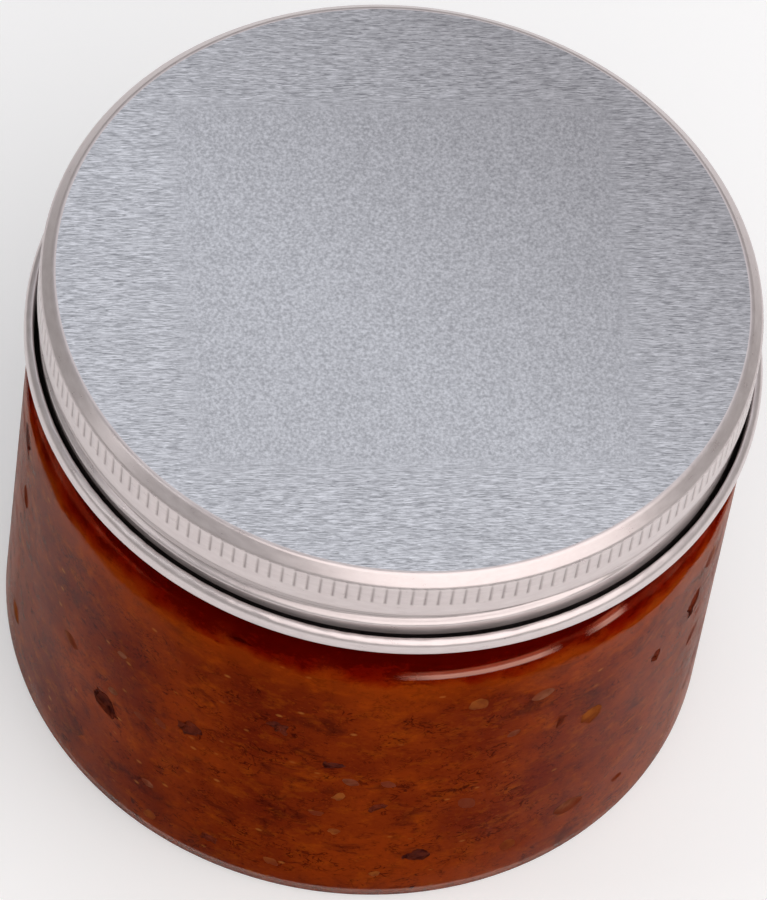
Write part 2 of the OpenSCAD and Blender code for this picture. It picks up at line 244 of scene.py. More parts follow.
fade = add_node(thread, "ShaderNodeMapRange", {0: nearer, 1: 0.0, 2: given["Taper"], 3: 0.0, 4: 1.0},
                interpolation_type="SMOOTHSTEP")[0]
threaded = add_node(thread, "GeometryNodeInputNamedAttribute", {"Name": "threaded"})["Attribute"]
height = flank
for share in (fade, threaded, given["Height"]):
    height = add_node(thread, "ShaderNodeMath", {0: height, 1: share}, operation="MULTIPLY")[0]
outwards = level_direction(thread, position, 1)
offset = add_node(thread, "ShaderNodeVectorMath", {0: outwards, "Scale": height}, operation="SCALE")[0]
ribbed = add_node(thread, "GeometryNodeSetPosition", {"Geometry": given["Geometry"], "Offset": offset})[0]
add_node(thread, "NodeGroupOutput", {"Geometry": ribbed})


def finish_threaded(tree, given, geometry, material, flag, other_material):
    """Ends a geometry tree: adds the thread and a material, and another one on faces with a flag."""
    ribbed = add_node(tree, "GeometryNodeGroup", {
        "Geometry": geometry, **{name: given[name] for name in neck_thread}}, node_tree=thread)[0]
    whole = add_node(tree, "GeometryNodeRealizeInstances", {0: ribbed})[0]
    plain = add_node(tree, "GeometryNodeSetMaterial", {"Geometry": whole, "Material": material})[0]
    chosen = add_node(tree, "GeometryNodeInputNamedAttribute", {"Name": flag})["Attribute"]
    chosen = add_node(tree, "ShaderNodeMath", {0: chosen, 1: 0.99}, operation="GREATER_THAN")[0]
    both = add_node(tree, "GeometryNodeSetMaterial", {
        "Geometry": plain, "Selection": chosen, "Material": other_material})[0]
    add_node(tree, "NodeGroupOutput", {"Geometry": both})


# Clear blown PET: smooth and water-clear. It shows what is behind it, and a veil of reflected
# light only towards the edges, where it is seen at a low angle.
pet_ior = 1.57
clear_pet, tree = new_material("clear_PET_blown_and_polished")
place = add_node(tree, "ShaderNodeTexCoord")["Object"]
waves = add_node(tree, "ShaderNodeTexNoise", {"Vector": place, "Scale": 110.0, "Detail": 1.0})["Fac"]
rippled = add_node(tree, "ShaderNodeBump", {"Strength": 0.12, "Distance": 0.6 * MM, "Height": waves})[0]
bent = add_node(tree, "ShaderNodeBsdfRefraction", {
    "Color": linear("#FAFCFC"), "Roughness": 0.0, "IOR": pet_ior, "Normal": rippled})[0]
mirrored = add_node(tree, "ShaderNodeBsdfGlossy", {
    "Color": linear("#FFF2EC"), "Roughness": 0.0, "Normal": rippled})[0]
glancing = add_node(tree, "ShaderNodeFresnel", {"IOR": pet_ior, "Normal": rippled})[0]
veil = add_node(tree, "ShaderNodeMapRange", {0: glancing, 1: 0.45, 2: 1.0, 3: 0.0, 4: 0.3})[0]
# Where light can't leave the wall, all of it turns back
kept_in = add_node(tree, "ShaderNodeMath", {0: glancing, 1: 0.999}, operation="GREATER_THAN")[0]
veil = add_node(tree, "ShaderNodeMath", {0: veil, 1: kept_in}, operation="MAXIMUM")[0]
plastic = add_node(tree, "ShaderNodeMixShader", {0: veil, 1: bent, 2: mirrored})[0]
finish_clear(tree, plastic, "#FAFCFC")

# The inside of the wall where paste and oil wet it: they match the plastic, so nothing shines here.
wetted_pet, tree = new_material("clear_PET_wetted_by_oil")
passing = add_node(tree, "ShaderNodeBsdfTransparent", {"Color": linear("#FFFFFF")})[0]
add_node(tree, "ShaderNodeOutputMaterial", {"Surface": passing})

# The jar in section: base, heel, wall, shoulder, threaded neck and rim, then down the inside.
dome_radius = (base_ring_radius**2 + base_rise**2) / (2 * base_rise)
dome_centre = base_rise - dome_radius
shoulder_inside = shoulder_curve - wall_thickness
neck_angle = math.degrees(math.acos((neck_radius - wall_radius + shoulder_curve) / shoulder_curve))
bore_angle = math.degrees(math.acos((bore_radius - wall_radius + shoulder_curve) / shoulder_inside))
neck_foot = shoulder_height + shoulder_curve * math.sin(math.radians(neck_angle))
bore_foot = shoulder_height + shoulder_inside * math.sin(math.radians(bore_angle))
dome_rings = (9 * MM, 18 * MM, 27 * MM)
floor_rings = (34 * MM, 27 * MM, 18 * MM, 9 * MM)


def dome(lift, radii):
    """Points of the raised middle of the base, lifted by a thickness."""
    return [(r, dome_centre + math.sqrt((dome_radius + lift) ** 2 - r**2)) for r in radii]


outside = [(0, base_rise)] + dome(0, dome_rings)
outside += line((base_ring_radius, 0), (wall_radius - heel_curve, 0), 3)
outside += arc(*heel_centre, heel_curve, -90, 0, 10)[1:]
outside += line((wall_radius, heel_curve), (wall_radius, shoulder_height), 12)[1:]
outside += arc(*shoulder_centre, shoulder_curve, 0, neck_angle, 16)[1:]
threaded_from = len(outside)
outside += line((neck_radius, neck_foot), (neck_radius, rim_height - rim_edge), 84)[1:]
threaded_to = len(outside) - 1
outside += arc(neck_radius - rim_edge, rim_height - rim_edge, rim_edge, 0, 90, 5)[1:]
inside = line((bore_radius, rim_height), (bore_radius, oil_level), 3)
wetted_from = len(outside) + len(inside)
inside += line((bore_radius, oil_level), (bore_radius, bore_foot), 4)[1:]
inside += arc(*shoulder_centre, shoulder_inside, bore_angle, 0, 12)[1:]
inside += line((inner_wall, shoulder_height), (inner_wall, heel_curve), 6)[1:]
inside += arc(*heel_centre, heel_curve - wall_thickness, 0, -90, 8)[1:]
inside += dome(floor_thickness, floor_rings) + [(0, base_rise + floor_thickness)]
section = outside + inside
clear_jar = turned_mesh(
    "clear_jar", section, even_angles(jar_columns),
    {"threaded": [(threaded_from, threaded_to)], "wetted": [(wetted_from, len(section))]})

blown_jar, given = new_growth("blown jar", neck_thread)
finish_threaded(blown_jar, given, given["Geometry"], clear_pet, "wetted", wetted_pet)
grow(clear_jar, blown_jar, {})
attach(clear_jar, "jar")
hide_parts("jar_body")

# The paste: chopped chili, garlic and oil, pressed against the wall as it was filled. Its top
# is uneven under the oil, and its edge draws back from the shoulder along a ragged line.
paste_radius = 42.08 * MM
paste_gap = 0.12 * MM
paste_floor_gap = 0.08 * MM
film_edge_height = 47.8 * MM
film_edge_drop = 1.2 * MM
film_edge_rise = 0.7 * MM
behind_film = 41.45 * MM
paste_top = 54.8 * MM
paste_top_radius = 36 * MM
paste_top_wave = 0.7 * MM
pressed_to = film_edge_height - 2.2 * MM
paste_edge_rounding = (0.05 * MM, 0.25 * MM)
paste_collar = [(38 * MM, 53.2 * MM), (37.8 * MM, paste_top - 0.5 * MM), (37.2 * MM, paste_top - 0.1 * MM)]
paste_floor_rings = (12 * MM, 24 * MM, 33 * MM)
paste_columns = 288


def fray(piece, flag):
    """Raises and lowers the points that have a flag along the ragged lower edge of the oil film."""
    waves = ((3, 1.1, 0.4), (7, 2.3, 0.3), (13, 0.7, 0.25), (23, 0.0, 0.2), (41, 1.9, 0.16), (67, 0.4, 0.12))
    for point, at_edge in flagged(piece, flag):
        if at_edge:
            angle = math.atan2(point.co.y, point.co.x)
            point.co.z += MM * sum(share * math.sin(count * angle + start) for count, start, share in waves)


paste_floor = floor_thickness + paste_floor_gap
paste_section = [(0, base_rise + paste_floor)] + dome(paste_floor, paste_floor_rings)
paste_section += arc(*heel_centre, heel_curve - wall_thickness - paste_gap, -90, 0, 10)
paste_section += line((paste_radius, heel_curve), (paste_radius, pressed_to), 12)[1:]
ragged_from = len(paste_section)
paste_section += [
    (paste_radius, film_edge_height - film_edge_drop),
    (paste_radius - paste_edge_rounding[0], film_edge_height - film_edge_drop / 2),
    (paste_radius - paste_edge_rounding[1], film_edge_height),
    (behind_film, film_edge_height + film_edge_rise)]
ragged_to = len(paste_section)
paste_section += arc(*shoulder_centre, behind_film - wall_radius + shoulder_curve, 12, 84, 9)
paste_section += line(*paste_collar[:2], 2) + paste_collar[2:]
top_from = len(paste_section)
paste_section += line((paste_top_radius, paste_top), (1 * MM, paste_top), 30) + [(0, paste_top)]
pressed_paste = turned_mesh(
    "pressed_paste", paste_section, even_angles(paste_columns),
    {"edge": [(ragged_from, ragged_to)], "top": [(top_from, len(paste_section))]})
fray(pressed_paste, "edge")
for point, at_top in flagged(pressed_paste, "top"):
    if at_top:
        x, y, z = point.co
        point.co.z -= paste_top_wave * (0.5 + 0.25 * math.sin(310 * x + 1) * math.cos(270 * y)
                                        + 0.25 * math.sin(720 * y + 2) * math.cos(640 * x + 0.4))

# Chili paste: finely chopped, wet through with red oil, so it is dark, saturated and mottled,
# with short dark veins, brighter patches and pale specks.
chili_paste, tree = new_material("chili_paste_chopped_in_oil")
place = add_node(tree, "ShaderNodeTexCoord")["Object"]
height = add_node(tree, "ShaderNodeSeparateXYZ", {0: place})["Z"]
squeezed = add_node(tree, "ShaderNodeMapping", {"Vector": place, "Scale": (1.0, 1.0, 1.7)})[0]
# Clouds 14 mm across, from maroon to orange-brown
clouds = add_node(tree, "ShaderNodeTexNoise", {
    "Vector": place, "Scale": 70.0, "Detail": 3.0, "Roughness": 0.6})["Fac"]
colour = tinted(tree, linear("#681E0B"), clouds, 0.36, 0.62, 1.0, "#8A320D")
# Mottling 3 mm across, towards a brighter orange
mottle = add_node(tree, "ShaderNodeTexNoise", {
    "Vector": squeezed, "Scale": 300.0, "Detail": 5.0, "Roughness": 0.66})["Fac"]
colour = tinted(tree, colour, mottle, 0.52, 0.72, 0.6, "#9E460C")
# Maroon patches of chili skin, about 6 mm across
skins = add_node(tree, "ShaderNodeTexNoise", {
    "Vector": squeezed, "Scale": 150.0, "Detail": 6.0, "Roughness": 0.68, "Distortion": 0.7})["Fac"]
colour = tinted(tree, colour, skins, 0.55, 0.68, 0.7, "#43110B")
# Thin dark cracks, 1 to 3 mm long, where a bent noise crosses its middle
for scale, width, strength in ((330.0, 0.03, 0.8), (760.0, 0.05, 0.55)):
    bent_noise = add_node(tree, "ShaderNodeTexNoise", {
        "Vector": squeezed, "Scale": scale, "Detail": 2.0, "Roughness": 0.55, "Distortion": 1.4})["Fac"]
    off = add_node(tree, "ShaderNodeMath", {0: bent_noise, 1: 0.5}, operation="SUBTRACT")[0]
    off = add_node(tree, "ShaderNodeMath", {0: off}, operation="ABSOLUTE")[0]
    crack = add_node(tree, "ShaderNodeMapRange", {0: off, 1: width, 2: 0.25 * width, 3: 0.0, 4: 1.0})[0]
    broken = add_node(tree, "ShaderNodeTexNoise", {
        "Vector": place, "Scale": 0.9 * scale, "Detail": 2.0, "W": scale}, noise_dimensions="4D")["Fac"]
    broken = add_node(tree, "ShaderNodeMapRange", {0: broken, 1: 0.49, 2: 0.6, 3: 0.0, 4: strength})[0]
    share = add_node(tree, "ShaderNodeMath", {0: crack, 1: broken}, operation="MULTIPLY")[0]
    colour = add_node(tree, "ShaderNodeMix", {0: share, 6: colour, 7: linear("#340A05")}, data_type="RGBA")[2]
# Dark and orange grains, 0.7 mm
grains = add_node(tree, "ShaderNodeTexNoise", {
    "Vector": squeezed, "Scale": 1500.0, "Detail": 3.0, "Roughness": 0.7})["Fac"]
colour = tinted(tree, colour, grains, 0.56, 0.74, 0.45, "#470F06")
colour = tinted(tree, colour, grains, 0.42, 0.28, 0.3, "#B0500E")
# Pale specks, one in a few cells of 3 mm
cells = add_node(tree, "ShaderNodeTexVoronoi", {"Vector": squeezed, "Scale": 330.0, "Randomness": 1.0})
speck = add_node(tree, "ShaderNodeMapRange", {0: cells["Distance"], 1: 0.17, 2: 0.07, 3: 0.0, 4: 1.0})[0]
chance = add_node(tree, "ShaderNodeSeparateColor", {0: cells["Color"]})[0]
chosen = add_node(tree, "ShaderNodeMapRange", {0: chance, 1: 0.72, 2: 0.8, 3: 0.0, 4: 0.6})[0]
share = add_node(tree, "ShaderNodeMath", {0: speck, 1: chosen}, operation="MULTIPLY")[0]
colour = add_node(tree, "ShaderNodeMix", {0: share, 6: colour, 7: linear("#AE6A30")}, data_type="RGBA")[2]
# Under the shoulder the paste is brighter, a painted pool of light, and behind the oil film it is dark red,
# both along a level that wavers with the mottling and the grains
level = height
for noise, waver in ((mottle, 1.9 * MM), (grains, 0.9 * MM)):
    waver = add_node(tree, "ShaderNodeMapRange", {0: noise, 1: 0.3, 2: 0.7, 3: -waver, 4: waver})[0]
    level = add_node(tree, "ShaderNodeMath", {0: level, 1: waver}, operation="ADD")[0]
colour = tinted(tree, colour, level, 41 * MM, 47.5 * MM, 0.5, "#A23E06")
colour = tinted(tree, colour, level, 48.3 * MM, 49.7 * MM, 0.66, "#581004")
chopped = add_node(tree, "ShaderNodeBsdfPrincipled", {
    "Base Color": colour, "Roughness": 0.55, "Specular IOR Level": 0.0})[0]
# The wetted wall gleams where it is seen at a low angle; its plastic bends such a view to 39
# degrees from the paste's own normal, so the gleam sits in the last few degrees before that
gleaming = add_node(tree, "ShaderNodeBsdfGlossy", {"Color": linear("#FFE8DE"), "Roughness": 0.0})[0]
facing = add_node(tree, "ShaderNodeLayerWeight", {"Blend": 0.5})["Facing"]
gleam = add_node(tree, "ShaderNodeMapRange", {0: facing, 1: 0.155, 2: 0.229, 3: 0.0, 4: 1.0})[0]
gleam = add_node(tree, "ShaderNodeMath", {0: gleam, 1: 2.2}, operation="POWER")[0]
gleam = add_node(tree, "ShaderNodeMath", {0: gleam, 1: 0.15}, operation="MULTIPLY")[0]
surface = add_node(tree, "ShaderNodeMixShader", {0: gleam, 1: chopped, 2: gleaming})[0]
add_node(tree, "ShaderNodeOutputMaterial", {"Surface": surface})
pressed_paste.data.materials.append(chili_paste)
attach(pressed_paste, "jar")
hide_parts("chili_paste")

# The oil: what rose out of the paste. It covers the paste in the neck and runs down behind the
# shoulder as a thin film. It wets the wall, so only its open surface shines.
oil_gap = 0.07 * MM
film_gap = 0.05 * MM
film_edge_rounding = 0.2 * MM
film_foot_inset = 0.005 * MM
film_foot_gap = 0.02 * MM
oil_outer = wall_radius - wall_thickness - oil_gap
oil_bore = bore_radius - oil_gap
meniscus = [(38.2 * MM, oil_level + 0.04 * MM), (oil_bore, oil_level + 0.25 * MM)]
meniscus_foot = oil_level - 0.2 * MM
oil_collar = [(38.05 * MM, 53.25 * MM), (37.9 * MM, paste_top - 0.4 * MM), (37.2 * MM, paste_top + film_gap)]
oil_section = [(0, oil_level)] + line((10 * MM, oil_level), (37 * MM, oil_level), 4)
oil_section += meniscus
open_to = len(oil_section)
oil_section += line((oil_bore, meniscus_foot), (oil_bore, bore_foot), 3)
oil_section += arc(*shoulder_centre, oil_outer - wall_radius + shoulder_curve, 78, 0, 12)[1:]
foot_from = len(oil_section)
oil_section += [
    (oil_outer, film_edge_height + film_edge_rise), (oil_outer, film_edge_height),
    (oil_outer, film_edge_height - film_edge_drop / 2),
    (oil_outer - film_foot_inset, film_edge_height - film_edge_drop),
    (paste_radius + film_foot_gap, film_edge_height - film_edge_drop),
    (paste_radius, film_edge_height - film_edge_drop / 2),
    (paste_radius - film_edge_rounding, film_edge_height),
    (behind_film + film_gap, film_edge_height + film_edge_rise)]
foot_to = len(oil_section)
oil_section += arc(*shoulder_centre, behind_film + film_gap - wall_radius + shoulder_curve, 12, 84, 9)
oil_section += oil_collar
oil_section += line((paste_top_radius, paste_top + film_gap), (10 * MM, paste_top + film_gap), 3)
oil_section += [(0, paste_top + film_gap)]
red_oil = turned_mesh(
    "red_oil", oil_section, even_angles(paste_columns),
    {"foot": [(foot_from, foot_to)], "open": [(0, open_to)]})
fray(red_oil, "foot")

# Chili oil against the wall and the paste: a clear reddish tint that deepens upwards, seen
# through, with no shine of its own
film_oil, tree = new_material("chili_oil_against_the_wall")
place = add_node(tree, "ShaderNodeTexCoord")["Object"]
depth = add_node(tree, "ShaderNodeTexNoise", {
    "Vector": place, "Scale": 260.0, "Detail": 5.0, "Roughness": 0.6})["Fac"]
parts = add_node(tree, "ShaderNodeSeparateXYZ", {0: place})
waver = 1.6 * MM
uneven = add_node(tree, "ShaderNodeMapRange", {0: depth, 1: 0.3, 2: 0.7, 3: -waver, 4: waver})[0]
level = add_node(tree, "ShaderNodeMath", {0: parts["Z"], 1: uneven}, operation="ADD")[0]
stain = tinted(tree, linear("#FFFFFF"), level, 46.8 * MM, 50.0 * MM, 1.0, "#EEBCA8")
passing = add_node(tree, "ShaderNodeBsdfTransparent", {"Color": stain})[0]
# A pale line in the film under the shoulder at the front right. It stands in for a lamp's
# reflection, and is a colour that stays in place from every side: its height rises along the
# line, and it fades at both ends and at a gap. Its angles are degrees right of the front.
streak_from = 8
streak_to = 49
streak_gap = 38
streak_height = 49.0 * MM
streak_rise = 0.0009 * MM
streak_half_width = 0.55 * MM
streak_share = 0.62
front_side = add_node(tree, "ShaderNodeMath", {0: parts["Y"], 1: -1.0}, operation="MULTIPLY")[0]
angle = add_node(tree, "ShaderNodeMath", {0: parts["X"], 1: front_side}, operation="ARCTAN2")[0]
angle = add_node(tree, "ShaderNodeMath", {0: angle}, operation="DEGREES")[0]
rise = angle
for operation, value in (("SUBTRACT", streak_from), ("POWER", 2.0), ("MULTIPLY", streak_rise)):
    rise = add_node(tree, "ShaderNodeMath", {0: rise, 1: value}, operation=operation)[0]
above = parts["Z"]
for part in (streak_height, rise):
    above = add_node(tree, "ShaderNodeMath", {0: above, 1: part}, operation="SUBTRACT")[0]
off = add_node(tree, "ShaderNodeMath", {0: above}, operation="ABSOLUTE")[0]
share = add_node(tree, "ShaderNodeMapRange", {
    0: off, 1: streak_half_width, 2: 0.4 * streak_half_width, 3: 0.0, 4: 1.0},
    interpolation_type="SMOOTHSTEP")[0]
ends = [
    add_node(tree, "ShaderNodeMapRange", {0: angle, 1: start, 2: full, 3: 0.0, 4: 1.0},
             interpolation_type="SMOOTHSTEP")[0]
    for start, full in ((streak_from, streak_from + 8), (streak_to, streak_to - 3))]
from_gap = add_node(tree, "ShaderNodeMath", {0: angle, 1: streak_gap}, operation="SUBTRACT")[0]
from_gap = add_node(tree, "ShaderNodeMath", {0: from_gap}, operation="ABSOLUTE")[0]
gap_share = add_node(tree, "ShaderNodeMapRange", {0: from_gap, 1: 2.0, 2: 6.0, 3: 0.0, 4: 1.0})[0]
for part in (*ends, gap_share, streak_share):
    share = add_node(tree, "ShaderNodeMath", {0: share, 1: part}, operation="MULTIPLY")[0]
streak = add_node(tree, "ShaderNodeBsdfDiffuse", {"Color": linear("#E8A896")})[0]
mixed = add_node(tree, "ShaderNodeMixShader", {0: share, 1: passing, 2: streak})[0]
add_node(tree, "ShaderNodeOutputMaterial", {"Surface": mixed})

# Chili oil at its open surface: a clear dark red liquid with a mirror-smooth skin
open_oil, tree = new_material("chili_oil_open_surface")
liquid = add_node(tree, "ShaderNodeBsdfPrincipled", {
    "Base Color": linear("#B4401E"), "Roughness": 0.02, "IOR": 1.47, "Transmission Weight": 1.0})[0]
finish_clear(tree, liquid, "#B4401E")
red_oil.data.materials.append(open_oil)
red_oil.data.materials.append(film_oil)
is_open = [value for point, value in flagged(red_oil, "open")]
for face in red_oil.data.polygons:
    face.material_index = 0 if all(is_open[v] for v in face.vertices) else 1
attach(red_oil, "jar")
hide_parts("chili_oil")

# Seeds, flakes and garlic: the larger pieces that the filling pressed flat against the wall.
# Each lies where its solid lies, with a shape of its own.
piece_half_thickness = 0.055 * MM


def places_of(node):
    """Where the solids of a CAD node lie: their centres, the directions in which they are longest,
    and their half lengths and widths along the wall."""
    shape = bmesh.new()
    shape.from_mesh(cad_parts[node].data)
    bmesh.ops.remove_doubles(shape, verts=shape.verts, dist=0.002 * MM)
    shape.verts.ensure_lookup_table()
    left, places = set(shape.verts), []
    while left:
        island, edge_of = set(), [next(iter(left))]
        while edge_of:
            point = edge_of.pop()
            if point not in island:
                island.add(point)
                edge_of += [edge.other_vert(point) for edge in point.link_edges]
        left -= island
        corners = np.array([list(point.co) for point in island])
        centre = (corners.min(axis=0) + corners.max(axis=0)) / 2
        outward = np.array([centre[0], centre[1], 0]) / math.hypot(centre[0], centre[1])
        round_the_wall = np.array([-outward[1], outward[0], 0])
        flat = np.stack([(corners - centre) @ round_the_wall, corners[:, 2] - centre[2]], axis=1)
        directions = np.linalg.eigh(flat.T @ flat)[1]
        tilt = math.atan2(directions[1, 1], directions[0, 1])
        half = [np.abs(flat @ directions[:, 1]).max(), np.abs(flat @ directions[:, 0]).max()]
        places.append((math.atan2(outward[1], outward[0]), centre[2], tilt, half))
    shape.free()
    return sorted(places, key=lambda p: (p[1], p[0]))


def piece_points(name, places):
    """A mesh of one point for each place, with the turn and the size that its piece takes."""
    points, turns, scales = [], [], []
    for angle, height, tilt, half in places:
        points.append((paste_radius * math.cos(angle), paste_radius * math.sin(angle), height))
        turned = Matrix.Rotation(angle, 3, "Z") @ Euler((math.pi / 2, 0, math.pi / 2)).to_matrix()
        turned = turned @ Matrix.Rotation(tilt, 3, "Z")
        turns += list(turned.to_euler())
        scales += [half[0], half[1], piece_half_thickness]
    mesh = bpy.data.meshes.new(name)
    mesh.from_pydata(points, [], [])
    mesh.attributes.new("turn", "FLOAT_VECTOR", "POINT").data.foreach_set("vector", turns)
    mesh.attributes.new("size", "FLOAT_VECTOR", "POINT").data.foreach_set("vector", scales)
    piece = bpy.data.objects.new(name, mesh)
    bpy.context.collection.objects.link(piece)
    return piece


# One tree grows all three: a rounded blob on each point, drawn to a point at its ends, and then
# made uneven by a noise that differs from piece to piece.
strew, given = new_growth("pieces on the wall", {
    "Detail": 3, "Pointed": 0.3, "Uneven": 0.2, "Grain": 900.0, "Seed": 7, "Finish": None})
blob = add_node(strew, "GeometryNodeMeshIcoSphere", {"Radius": 1.0, "Subdivisions": given["Detail"]})[0]
position = add_node(strew, "GeometryNodeInputPosition")[0]
parts = add_node(strew, "ShaderNodeSeparateXYZ", {0: position})
square = add_node(strew, "ShaderNodeMath", {0: parts["X"], 1: parts["X"]}, operation="MULTIPLY")[0]
drawn = add_node(strew, "ShaderNodeMath", {0: square, 1: given["Pointed"]}, operation="MULTIPLY")[0]
kept = add_node(strew, "ShaderNodeMath", {0: 1.0, 1: drawn}, operation="SUBTRACT")[0]
narrow = add_node(strew, "ShaderNodeMath", {0: parts["Y"], 1: kept}, operation="MULTIPLY")[0]
pointed = add_node(strew, "ShaderNodeCombineXYZ", {0: parts["X"], 1: narrow, 2: parts["Z"]})[0]
blob = add_node(strew, "GeometryNodeSetPosition", {"Geometry": blob, "Position": pointed})[0]
turn, size = [
    add_node(strew, "GeometryNodeInputNamedAttribute", {"Name": name}, data_type="FLOAT_VECTOR")[0]
    for name in ("turn", "size")]
copies = add_node(strew, "GeometryNodeInstanceOnPoints", {
    "Points": given["Geometry"], "Instance": blob, "Rotation": turn, "Scale": size})[0]
whole = add_node(strew, "GeometryNodeRealizeInstances", {0: copies})[0]
noise = add_node(strew, "ShaderNodeTexNoise", {
    "Vector": position, "W": given["Seed"], "Scale": given["Grain"], "Detail": 2.0},
    noise_dimensions="4D")["Color"]
centred = add_node(strew, "ShaderNodeVectorMath", {0: noise, 1: (0.5, 0.5, 0.5)}, operation="SUBTRACT")[0]
strength = add_node(strew, "ShaderNodeMath", {0: given["Uneven"], 1: MM}, operation="MULTIPLY")[0]
shift = add_node(strew, "ShaderNodeVectorMath", {0: centred, "Scale": strength}, operation="SCALE")[0]
# The noise moves a piece's outline along the wall, and never into it or away from it
outwards = level_direction(strew, position, 1)
away = add_node(strew, "ShaderNodeVectorMath", {0: shift, 1: outwards}, operation="DOT_PRODUCT")["Value"]
radial = add_node(strew, "ShaderNodeVectorMath", {0: outwards, "Scale": away}, operation="SCALE")[0]
shift = add_node(strew, "ShaderNodeVectorMath", {0: shift, 1: radial}, operation="SUBTRACT")[0]
uneven = add_node(strew, "GeometryNodeSetPosition", {"Geometry": whole, "Offset": shift})[0]
smooth = add_node(strew, "GeometryNodeSetShadeSmooth", {"Geometry": uneven})[0]
finished = add_node(strew, "GeometryNodeSetMaterial", {"Geometry": smooth, "Material": given["Finish"]})[0]
add_node(strew, "NodeGroupOutput", {"Geometry": finished})

# Each kind has a light and a dark tone, spotted at its own scale: chili seed in oil is a dull
# tan, chili skin dark maroon, and chopped garlic in oil orange-brown. Parts of them are coloured
# nearly as the paste is, so that they show less.
for name, node, slot, finish_name, light, dark, grain, pointed, uneven in (
        ("pressed_seeds", "chili_seeds", "seeds",
         "chili_seed_soaked_in_oil", "#8A5036", "#6E361E", 900.0, 0.35, 0.3),
        ("pressed_flakes", "chili_flakes", "flakes",
         "chili_skin_soaked_in_oil", "#5C2010", "#400F08", 1400.0, 0.1, 4.0),
        ("pressed_garlic", "garlic_bits", "garlic",
         "chopped_garlic_in_oil", "#984E18", "#7C380E", 800.0, 0.1, 1.4)):
    finish, tree = new_material(finish_name)
    place = add_node(tree, "ShaderNodeTexCoord")["Object"]
    spots = add_node(tree, "ShaderNodeTexNoise", {"Vector": place, "Scale": grain, "Detail": 3.0})["Fac"]
    colour = tinted(tree, linear(light), spots, 0.4, 0.62, 1.0, dark)
    hiding = add_node(tree, "ShaderNodeTexNoise", {"Vector": place, "Scale": 170.0, "Detail": 0.0})["Fac"]
    colour = tinted(tree, colour, hiding, 0.4, 0.6, 0.85, "#74280C")
    surface = add_node(tree, "ShaderNodeBsdfPrincipled", {
        "Base Color": colour, "Roughness": 0.5, "Specular IOR Level": 0.1})[0]
    add_node(tree, "ShaderNodeOutputMaterial", {"Surface": surface})
    pieces = piece_points(name, places_of(node))
    grow(pieces, strew, {"Pointed": pointed, "Uneven": uneven, "Finish": finish})
    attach(pieces, "jar")
    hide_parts(node)

# The liner: a disc of foamed polyethylene sheet, punched out and pushed up under the panel.
foam, tree = new_material("foamed_polyethylene_sheet")
place = add_node(tree, "ShaderNodeTexCoord")["Object"]
cells = add_node(tree, "ShaderNodeTexVoronoi", {"Vector": place, "Scale": 2200.0})["Distance"]
dents = add_node(tree, "ShaderNodeBump", {"Strength": 0.25, "Distance": 0.08 * MM, "Height": cells})[0]
surface = add_node(tree, "ShaderNodeBsdfPrincipled", {
    "Base Color": linear("#F0F0EC"), "Roughness": 0.6, "Normal": dents})[0]
add_node(tree, "ShaderNodeOutputMaterial", {"Surface": surface})
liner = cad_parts["lid_liner"]
liner.data.materials.clear()
liner.data.materials.append(foam)

# The lid: one sheet of aluminium, drawn to a cup, with a brushed panel, a rolled rim, a knurled
# band, a thread rolled into its skirt and its cut edge curled outwards.
lid_top = 68.2 * MM
sheet = 0.3 * MM
panel_rings = (0, 14 * MM, 28 * MM, 38 * MM)
panel_inside_rings = (30 * MM, 15 * MM, 0)
band_radius = 42.5 * MM
cap_radius = 41.6 * MM
rim_curve = 0.9 * MM
rim_centre = (cap_radius - rim_curve, lid_top - rim_curve)
crease_depth = 0.75 * MM
crease_cut = 0.015 * MM
band_edge = 1 * MM
band_centre = (band_radius - band_edge, lid_top - crease_depth - band_edge)
band_depths = [1.27, 1.32, 1.38, 1.46, 1.6, 1.85, 2.3, 2.9, 3.4, 3.8, 4.05, 4.2, 4.3, 4.38, 4.45, 4.52]
step_height = lid_top - 6.6 * MM
step_edge = 0.4 * MM
plain_band_top = lid_top - 4.7 * MM
band_inside = band_radius - sheet
band_inside_foot = lid_top - 5 * MM
skirt_radius = 42.05 * MM
skirt_top = step_height - 0.1 * MM
step_foot = (skirt_radius + 0.01 * MM, step_height - 0.03 * MM)
step_inside = [(band_inside - 0.15 * MM, step_height + sheet + 0.05 * MM),
               (band_inside, step_height + step_edge + 0.2 * MM)]
skirt_inside = skirt_radius - sheet
skirt_inside_top = step_height - 0.05 * MM
curl_centre = (42.75 * MM, 56.05 * MM)
curl_radius = 1 * MM
curl_rise = 0.5 * MM
curl_turn = 92
skirt_inside_foot = curl_centre[1] + 0.12 * MM
knurl_count = 176
knurl_half_width = 0.26 * MM
knurls = {"Knurls": knurl_count, "Knurl depth": 0.16 * MM, "Knurl half width": knurl_half_width,
          "Knurl top": lid_top - 1.28 * MM, "Knurl foot": lid_top - 4.45 * MM, "Band radius": band_radius}
lid_thread = {"Pitch": thread_pitch, "Height": -0.8 * MM, "Root width": 1.8 * MM, "Crest width": 0.7 * MM,
              "Turns": 0.58, "End angle": -30.0, "End height": 60.597 * MM, "Taper": 0.16}

